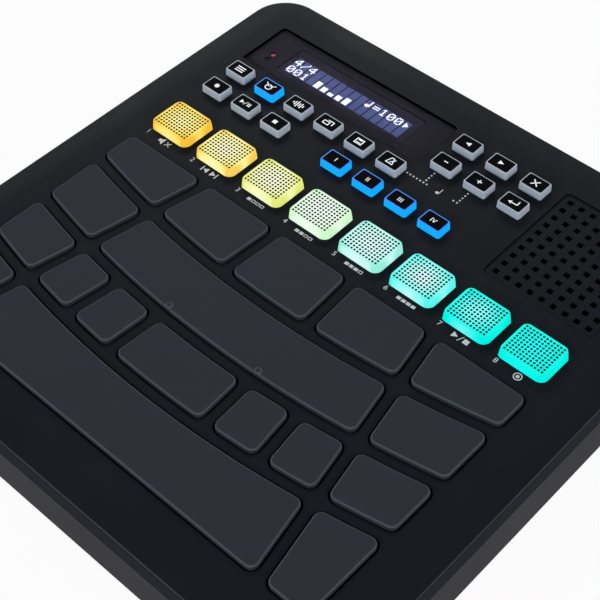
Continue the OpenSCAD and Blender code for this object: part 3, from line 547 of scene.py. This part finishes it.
class DRUMPAD_OT_buttons(bpy.types.Operator):
    """Finish of the buttons, their black print and their signs"""

    bl_idname = "drumpad.buttons"
    bl_label = "Buttons"

    # How much larger than drawn the signs are printed
    large, plain = 1.35, 1.1
    # Millimetres: the height over which a lit button's rim turns deeper, and the corner of the black print
    rim_fade, print_corner = 0.6, 0.8

    def execute(self, context):
        colours, sizes = context.scene.drum_pad_colours, context.scene.drum_pad_sizes
        # Translucent silicone, unlit: milky grey with a soft sheen
        grey = grained("Silicone translucent grey", colours.button, roughness=0.42, grain_mm=0.3,
                       depth_mm=0.003, patch_mm=5, tone=0.05, wear=0.04, IOR=1.41, Subsurface_Weight=0.12,
                       Subsurface_Scale=0.001)
        # The same silicone with a blue lamp below, brighter near the panel than round its print, its own colour
        # faint beside the glow
        dye = [c * 0.2 for c in colours.button_glow]
        blue, tree, shader = principled("Silicone translucent blue glow", dye, roughness=0.42, IOR=1.41,
                                        Emission_Strength=0.9)
        top = top_of("kit_button")
        shade = add(tree, "ShaderNodeMix", {SHARE: by_height(blue, top - self.rim_fade * MM, top),
                                            COLOUR_A: (*colours.button_glow, 1),
                                            COLOUR_B: (*colours.button_rim_glow, 1)}, data_type="RGBA")
        tree.links.new(shade.outputs[COLOUR_OUT], shader.inputs["Emission Color"])
        # Screen prints: half-matt black field and dense white signs, which also carry a faint painted glow
        black = grained("Ink screen-printed black", colours.button_ink, roughness=0.55, grain_mm=0.1,
                        depth_mm=0.001, patch_mm=3, Specular_IOR_Level=0.01)
        white = grained("Ink screen-printed white with painted glow", colours.legend, roughness=0.55, grain_mm=0.1,
                        depth_mm=0.001, patch_mm=2, tone=0.04, Emission_Strength=0.12,
                        Emission_Color=(*colours.legend, 1))
        bare = (sizes.button_lip + sizes.button_rim) / MM
        for name in BUTTONS:
            dress([name], blue if name in LIT_BUTTONS else grey)
            low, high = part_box(name)
            x, y = (c / MM for c in middle(name))
            w, d = (high.x - low.x) / MM - 2 * bare, (high.y - low.y) / MM - 2 * bare
            grow = self.large if name in LARGE_SIGNS else self.plain
            printed(f"{name}_print", [rounded(x, y, w, d, self.print_corner)], high.z - sizes.ink,
                    high.z + sizes.ink, black, name)
            sign = [[(x + grow * px, y + grow * py) for px, py in outline] for outline in LEGENDS[name]]
            printed(f"{name}_sign", sign, high.z + sizes.ink / 2, high.z + 2 * sizes.ink, white, name)
        return {"FINISHED"}


class DRUMPAD_OT_display(bpy.types.Operator):
    """Smoked window, character display with its lit cells, and the two status lamps"""

    bl_idname = "drumpad.display"
    bl_label = "Display"

    # Millimetres: depth of the display's glass under its frame, free room round the front glass, its corners
    # and the gap under the window
    glass_drop, glass_room, glass_corner, slack = 0.6, 0.4, 0.5, 0.1
    # Millimetres: the middle of the block of cells from the display's, and the gap between its two rows
    block_at, row_gap = (-0.23, -1.3), 0.1
    # Dots of a character across and down, and the height of a cell's free edge in dots
    dots_across, dots_down, free_edge = 5, 7, 0.4
    # Millimetres: the lamps from the window's left end, and half the width of their holes in the print
    lamp_x, lamp_hole = 8.0, 1.2
    # Colour and strength of each lamp, and its place from the window's middle line in millimetres
    lamps = {"red": ("#cc5f74", 1.0, -2.3), "green": ("#0f5a34", 0.45, -6.3)}

    def execute(self, context):
        colours, sizes = context.scene.drum_pad_colours, context.scene.drum_pad_sizes
        # Acrylic sheet cast with a little smoke dye, clear over the cells and printed dark on its back
        # elsewhere. A guessed anti-reflex coat takes away nearly all of the mirror image, so the IOR is far
        # below acrylic's 1.49.
        dress(["display_window"], grained(
            "Acrylic sheet smoked", linear("#d6d6dc"), roughness=0.03, grain_mm=8.0, depth_mm=0.0002, tone=0.01,
            wear=0.01, IOR=1.05, Transmission_Weight=1.0, Specular_IOR_Level=0.0,
            Specular_Tint=(0.04, 0.04, 0.04, 1)))
        self.mask(colours, sizes)
        # Display glass with its polariser: dark violet grey where no cell is lit, with a little stray backlight
        polariser = grained("Glass display polariser", colours.lcd_glass, roughness=0.4, grain_mm=0.4,
                            depth_mm=0.002, patch_mm=12, Specular_IOR_Level=0.03, Emission_Strength=1.0,
                            Emission_Color=(*linear("#22212a"), 1))
        dress(["lcd_module"], polariser)
        # Front glass, which fills the case's opening up to the window
        x, y = (c / MM for c in middle("lcd_module"))
        w, d = sizes.view_w / MM - self.glass_room, sizes.view_d / MM - self.glass_room
        rest = top_of("lcd_module") - self.glass_drop * MM
        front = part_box("display_window")[0].z - self.slack * MM
        printed("display_glass", [rounded(x, y, w, d, self.glass_corner)], rest + sizes.ink, front, polariser,
                "case")
        self.cells(colours, sizes, front)
        low, high = (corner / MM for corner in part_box("display_window"))
        for name, (code, power, across) in self.lamps.items():
            # Moulded lamp lens, lit from behind
            lens = grained(f"Lamp lens moulded {name}", linear("#101012"), roughness=0.3, grain_mm=0.2,
                           depth_mm=0.001, Emission_Strength=power, Emission_Color=(*linear(code), 1),
                           Specular_IOR_Level=0.1)
            self.lens(f"status_lamp_{name}", low.x + self.lamp_x, (low.y + high.y) / 2 + across, low.z, lens)
        return {"FINISHED"}

    def mask(self, colours, sizes):
        """Dark print on the back of the window, open over the cells and the two lamps."""
        # Screen print, seen through the sheet: even and half matt
        ink = grained("Ink back-printed grey", colours.window_ink, roughness=0.5, grain_mm=0.1, depth_mm=0.001,
                      Specular_IOR_Level=0.02)
        low, high = (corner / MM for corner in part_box("display_window"))
        x, y = (c / MM for c in middle("lcd_module"))
        w, d = sizes.view_w / MM, sizes.view_d / MM
        left, right, front, back = x - w / 2, x + w / 2, y - d / 2, y + d / 2
        spans = [(left, right, low.y, front), (left, right, back, high.y), (right, high.x, low.y, high.y)]
        # Beside the cells, left: bars that leave a square hole at each lamp
        start, end = (low.x + self.lamp_x + side * self.lamp_hole for side in (-1, 1))
        spans += [(low.x, start, low.y, high.y), (end, left, low.y, high.y)]
        edge = low.y
        for across in sorted(lamp[2] for lamp in self.lamps.values()):
            lamp_y = (low.y + high.y) / 2 + across
            spans.append((start, end, edge, lamp_y - self.lamp_hole))
            edge = lamp_y + self.lamp_hole
        spans.append((start, end, edge, high.y))
        plates = [bar((a + b) / 2, (c + d) / 2, b - a, d - c) for a, b, c, d in spans]
        base = low.z * MM
        printed("window_back_print", plates, base + sizes.ink / 2, base + 2 * sizes.ink, ink, "case")

    def cells(self, colours, sizes, front):
        """The lit cells of the display and the dots of its characters, at a height in metres."""
        # Backlit cells: light through liquid crystal, even but for a little clouding
        cell = grained("Display cell backlit", linear("#05050a"), roughness=0.5, grain_mm=0.2, depth_mm=0.001,
                       Emission_Strength=1.2, Emission_Color=(*colours.lcd_cell, 1))
        dot = grained("Display dot backlit", linear("#05050a"), roughness=0.5, grain_mm=0.2, depth_mm=0.001,
                      Emission_Strength=1.7, Emission_Color=(*colours.lcd_dot, 1))
        mx, my = (c / MM + shift for c, shift in zip(middle("lcd_module"), self.block_at))
        w, d, gap = sizes.cell_w / MM, sizes.cell_d / MM, sizes.cell_gap / MM
        dot_w, dot_d = (w - gap) / self.dots_across, (d - gap) / (self.dots_down + self.free_edge)
        mid_column, mid_row = (self.dots_across - 1) / 2, (self.dots_down - 1) / 2
        plates, dots = [], []
        for row, line in enumerate((TOP_LINE, LOW_LINE)):
            for column, character in enumerate(line):
                x, y = mx + (column - (len(line) - 1) / 2) * w, my + (0.5 - row) * d
                plates.append(bar(x, y, w - gap, d - self.row_gap))
                for r, bits in enumerate(CHARACTERS[character].split()):
                    dots += [bar(x + (c - mid_column) * dot_w, y + (mid_row - r) * dot_d, dot_w, dot_d)
                             for c, bit in enumerate(bits) if bit == "1"]
        printed("display_cells", plates, front - sizes.ink, front + sizes.ink, cell, "case")
        printed("display_characters", dots, front + sizes.ink / 2, front + 2 * sizes.ink, dot, "case")

    def lens(self, name, x, y, top, material):
        """A small domed lens under the window; all measures are in millimetres."""
        rings, sides, radius, rise = 5, 20, 1.15, 0.5
        points, faces = [], []
        for k in range(rings):
            a = math.pi / 2 * k / rings
            z = top - self.slack - rise * (1 - math.sin(a))
            points += [(px * MM, py * MM, z * MM) for px, py in disc(x, y, radius * math.cos(a), sides)]
        points.append((x * MM, y * MM, (top - self.slack) * MM))
        for k in range(rings - 1):
            a, b = k * sides, (k + 1) * sides
            faces += [(a + i, a + (i + 1) % sides, b + (i + 1) % sides, b + i) for i in range(sides)]
        last = (rings - 1) * sides
        faces += [(last + i, last + (i + 1) % sides, len(points) - 1) for i in range(sides)]
        faces.append(tuple(reversed(range(sides))))
        piece(name, points, faces, material, "case")


class DRUMPAD_OT_panel_print(bpy.types.Operator):
    """Numerals, signs and dotted lines printed on the panel"""

    bl_idname = "drumpad.panel_print"
    bl_label = "Panel print"

    # Places of a numeral and a sign from the middle of their glowing pad, in millimetres
    numeral_at, sign_at = (-8.9, -11.8), (1.9, -12.4)
    # The rows of boxes are printed as drawn, the other signs larger
    box_rows, larger = (3, 4, 5, 6), 1.25
    # Millimetres from the minus button's middle: the dotted line, its dots and the note sign beside them
    line_y, note_x = -13.1, 7.0
    line_dots = [-10.2 + 1.77 * i for i in range(7)] + [14.6, 16.5]
    # The two dotted lines that rise from it: their places along it and the heights of their dots
    rise_x, rise_dots = (-1.3, 16.6), [1.8 + 1.78 * i for i in range(4)]
    dot_radius, dot_sides = 0.42, 12
    # Size of the font for a numeral of height 1, and how far its strokes are thinned, in millimetres
    font_size, thinned = 1.4, 0.03

    def execute(self, context):
        colours, sizes = context.scene.drum_pad_colours, context.scene.drum_pad_sizes
        # Pale pad print, matt and a little thin
        ink = grained("Ink pad-printed pale", colours.panel_ink, roughness=0.6, grain_mm=0.1, depth_mm=0.001,
                      patch_mm=2)
        panel = top_of("top_case")
        signs = []
        for number, name in enumerate(GLOWING_PADS, 1):
            x, y = (c / MM for c in middle(name))
            at = (x + self.numeral_at[0], y + self.numeral_at[1])
            self.letter(f"panel_numeral_{number}", str(number), at, sizes, panel, ink)
            grow = 1.0 if number in self.box_rows else self.larger
            signs += [[(x + self.sign_at[0] + grow * px, y + self.sign_at[1] + grow * py) for px, py in outline]
                      for outline in PAD_SIGNS[number]]
        printed("panel_pad_signs", signs, panel - sizes.ink, panel + sizes.ink, ink, "case")
        # Dotted lines that join three buttons to the note sign of the beat
        x, y = (c / MM for c in middle("minus_button"))
        line = y + self.line_y
        dots = [(x + along, line) for along in self.line_dots]
        dots += [(x + along, line + up) for along in self.rise_x for up in self.rise_dots]
        beat = [disc(px, py, self.dot_radius, self.dot_sides) for px, py in dots]
        beat += [[(x + self.note_x + px, line + py) for px, py in outline] for outline in NOTE_SIGN]
        printed("panel_beat_sign", beat, panel - sizes.ink, panel + sizes.ink, ink, "case")
        return {"FINISHED"}

    def letter(self, name, text, at, sizes, panel, ink):
        """A plain character printed on the panel, centred on a point in millimetres."""
        curve = bpy.data.curves.new(name, "FONT")
        curve.body = text
        curve.size = sizes.numeral * self.font_size
        curve.align_x = "CENTER"
        curve.align_y = "CENTER"
        curve.extrude = sizes.ink
        curve.offset = -self.thinned * MM
        maker = bpy.data.objects.new(name + "_outline", curve)
        bpy.context.scene.collection.objects.link(maker)
        bpy.context.view_layer.update()
        mesh = bpy.data.meshes.new_from_object(maker.evaluated_get(bpy.context.evaluated_depsgraph_get()))
        bpy.data.objects.remove(maker)
        bpy.data.curves.remove(curve)
        mesh.transform(Matrix.Translation((at[0] * MM, at[1] * MM, panel)))
        mesh.materials.clear()
        mesh.materials.append(ink)
        made = bpy.data.objects.new(name, mesh)
        bpy.context.scene.collection.objects.link(made)
        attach(made, "case")


class DRUMPAD_OT_inner_pieces(bpy.types.Operator):
    """Finish of the boards, the speaker and the battery inside the body"""

    bl_idname = "drumpad.inner_pieces"
    bl_label = "Inner pieces"

    def execute(self, context):
        # Glass laminate under green solder mask, half gloss
        dress(["panel_board", "main_board"], grained(
            "Laminate solder-masked green", linear("#1b4f35"), roughness=0.38, grain_mm=0.8, depth_mm=0.01,
            patch_mm=14))
        # Pressed and lacquered frame with a paper cone
        dress(["speaker"], grained(
            "Paper and lacquered steel black", linear("#141415"), roughness=0.6, grain_mm=0.5, depth_mm=0.02,
            patch_mm=8))
        # Shrink wrap over the cells
        dress(["battery_pack"], grained(
            "Shrink film blue", linear("#2f5c8a"), roughness=0.3, grain_mm=2.5, depth_mm=0.05, patch_mm=20))
        return {"FINISHED"}


class DRUMPAD_OT_rear_fittings(bpy.types.Operator):
    """Finish of the jacks, the USB socket, the power button and the volume dial"""

    bl_idname = "drumpad.rear_fittings"
    bl_label = "Rear fittings"

    def execute(self, context):
        # Nylon moulded black, half matt
        dress(["audio_jacks"], grained(
            "Nylon moulded black", linear("#18181a"), roughness=0.45, grain_mm=0.4, depth_mm=0.006, patch_mm=4))
        # Drawn steel shell, tinned bright
        dress(["usb_socket"], grained(
            "Steel drawn and tinned", linear("#b9bcc1"), roughness=0.28, grain_mm=0.3, depth_mm=0.003,
            patch_mm=3, Metallic=1.0))
        # Moulded bodies of the small controls
        dress(["rear_controls"], grained(
            "Nylon moulded grey", linear("#5b5d62"), roughness=0.5, grain_mm=0.4, depth_mm=0.006, patch_mm=4))
        # ABS moulded smooth, dark on the dial and pale on the power button
        dress(["volume_dial"], grained(
            "ABS moulded dark", linear("#26272b"), roughness=0.5, grain_mm=0.35, depth_mm=0.006, patch_mm=5))
        dress(["power_button"], grained(
            "ABS moulded pale", linear("#b9bcc2"), roughness=0.42, grain_mm=0.35, depth_mm=0.004, patch_mm=4))
        return {"FINISHED"}


class DRUMPAD_OT_stage(bpy.types.Operator):
    """Pale floor, soft studio light and the camera"""

    bl_idname = "drumpad.stage"
    bl_label = "Stage"

    # Place and size of each softbox in metres, its power in watts, and the point that all of them face
    softboxes = {
        "softbox_front": ((-0.6, -2.0, 1.2), (1.8, 1.0), 42.0),
        "softbox_right": ((2.1, 0.2, 1.1), (1.4, 1.0), 36.0),
        "softbox_back": ((-1.5, 1.45, 1.15), (1.8, 0.5), 26.0),
    }
    aim = (0, 0, 0.03)
    # Half of the floor's width in metres, and the share of plain white in how it looks
    floor_half, floor_white = 3.0, 0.95
    # Camera: direction and roll in degrees, the point in plan that it faces, sensor and lens in millimetres
    azimuth, elevation, roll = 43.734, 49.423, -1.317
    facing = (12.961, -10.397)
    sensor, lens = 36.0, 85.776

    def execute(self, context):
        scene = context.scene
        scene.view_settings.view_transform = "Standard"
        self.floor(scene)
        self.world(scene)
        for name, (at, size, power) in self.softboxes.items():
            self.lamp(scene, name, at, size, power)
        self.camera(scene)
        return {"FINISHED"}

    def floor(self, scene):
        """A wide pale sheet that looks nearly white and keeps a trace of the object's shadow."""
        # Matt paper sweep
        paper = grained("Paper matt white", scene.drum_pad_colours.floor, roughness=0.85, grain_mm=3.0,
                        depth_mm=0.01, patch_mm=400, tone=0.01)
        tree = paper.node_tree
        glow = add(tree, "ShaderNodeEmission", {"Color": (1, 1, 1, 1), "Strength": 1.0})
        sight = add(tree, "ShaderNodeMath", {0: self.seen(tree), 1: self.floor_white}, operation="MULTIPLY")
        plain = tree.nodes["Principled BSDF"].outputs[0]
        blend = add(tree, "ShaderNodeMixShader", {0: sight.outputs[0], 1: plain, 2: glow.outputs[0]})
        tree.links.new(blend.outputs[0], tree.nodes["Material Output"].inputs["Surface"])
        half = self.floor_half
        points = [(-half, -half, 0), (half, -half, 0), (half, half, 0), (-half, half, 0)]
        mesh = bpy.data.meshes.new("floor")
        mesh.from_pydata(points, [], [(0, 1, 2, 3)])
        mesh.materials.append(paper)
        floor = bpy.data.objects.new("floor", mesh)
        scene.collection.objects.link(floor)

    def seen(self, tree):
        """1 for what is seen straight, in a mirror or through glass, and 0 for light that falls on things."""
        path = add(tree, "ShaderNodeLightPath").outputs
        mirror = add(tree, "ShaderNodeMath", {0: path["Is Camera Ray"], 1: path["Is Glossy Ray"]},
                     operation="MAXIMUM")
        return add(tree, "ShaderNodeMath", {0: mirror.outputs[0], 1: path["Is Transmission Ray"]},
                   operation="MAXIMUM").outputs[0]

    def world(self, scene):
        """Plain white where seen straight; as light, bright round the horizon like a sweep and dim overhead."""
        world = bpy.data.worlds.new("studio")
        world.use_nodes = True
        tree = world.node_tree
        scene.world = world
        place = add(tree, "ShaderNodeTexCoord").outputs["Generated"]
        axes = add(tree, "ShaderNodeSeparateXYZ", {"Vector": place})
        # The light starts to fade 3 degrees above the horizon and is dim from 30 degrees up
        fall = add(tree, "ShaderNodeMapRange", {"Value": axes.outputs["Z"], "From Min": 0.05, "From Max": 0.5,
                                                "To Min": 0.9, "To Max": 0.06}, interpolation_type="SMOOTHSTEP")
        straight = add(tree, "ShaderNodeLightPath").outputs["Is Camera Ray"]
        level = add(tree, "ShaderNodeMath", {0: fall.outputs["Result"], 1: straight}, operation="MAXIMUM")
        tree.links.new(level.outputs[0], tree.nodes["Background"].inputs["Strength"])
        tree.nodes["Background"].inputs["Color"].default_value = (1, 1, 1, 1)

    def lamp(self, scene, name, at, size, power):
        """A softbox turned to the object."""
        data = bpy.data.lights.new(name, "AREA")
        data.shape = "RECTANGLE"
        data.size, data.size_y = size
        data.energy = power
        made = bpy.data.objects.new(name, data)
        made.location = at
        made.rotation_euler = (Vector(self.aim) - Vector(at)).to_track_quat("-Z", "Y").to_euler()
        scene.collection.objects.link(made)

    def camera(self, scene):
        """The photograph's view, made to fit a square frame of 600 by 600 pixels."""
        azimuth, elevation, roll = (math.radians(a) for a in (self.azimuth, self.elevation, self.roll))
        back = Vector((math.sin(azimuth) * math.cos(elevation), -math.cos(azimuth) * math.cos(elevation),
                       math.sin(elevation)))
        right = Vector((math.cos(azimuth), math.sin(azimuth), 0))
        up = back.cross(right)
        right, up = (math.cos(roll) * right + math.sin(roll) * up, math.cos(roll) * up - math.sin(roll) * right)
        target = Vector((self.facing[0] * MM, self.facing[1] * MM, top_of("lit_pad_1")))
        data = bpy.data.cameras.new("camera")
        data.sensor_width = self.sensor
        data.lens = self.lens
        data.clip_start = 0.01
        made = bpy.data.objects.new("camera", data)
        turn = Matrix((right, up, back)).transposed().to_4x4()
        made.matrix_world = Matrix.Translation(target + back * scene.drum_pad_sizes.camera_distance) @ turn
        scene.collection.objects.link(made)
        scene.camera = made


OPERATORS = (DRUMPAD_OT_cases, DRUMPAD_OT_drum_pads, DRUMPAD_OT_glowing_pads, DRUMPAD_OT_buttons,
             DRUMPAD_OT_display, DRUMPAD_OT_panel_print, DRUMPAD_OT_inner_pieces, DRUMPAD_OT_rear_fittings,
             DRUMPAD_OT_stage)


class DRUMPAD_PT_tools(bpy.types.Panel):
    """Sidebar panel with the drum pad's pieces and settings"""

    bl_label = "Finger drum pad"
    bl_idname = "DRUMPAD_PT_tools"
    bl_space_type = "VIEW_3D"
    bl_region_type = "UI"
    bl_category = "Drum Pad"

    def draw(self, context):
        for operator in OPERATORS:
            self.layout.operator(operator.bl_idname)
        for group in (context.scene.drum_pad_colours, context.scene.drum_pad_sizes):
            column = self.layout.column()
            for key in group.bl_rna.properties.keys():
                if key not in ("rna_type", "name"):
                    column.prop(group, key)


CLASSES = (DrumPadColours, DrumPadSizes) + OPERATORS + (DRUMPAD_PT_tools,)


def register():
    for cls in CLASSES:
        bpy.utils.register_class(cls)
    bpy.types.Scene.drum_pad_colours = PointerProperty(type=DrumPadColours)
    bpy.types.Scene.drum_pad_sizes = PointerProperty(type=DrumPadSizes)


def unregister():
    del bpy.types.Scene.drum_pad_sizes
    del bpy.types.Scene.drum_pad_colours
    for cls in reversed(CLASSES):
        bpy.utils.unregister_class(cls)


def main():
    """Makes every piece in order."""
    register()
    for operator in OPERATORS:
        group, name = operator.bl_idname.split(".")
        getattr(getattr(bpy.ops, group), name)()


if __name__ == "__main__":
    main()
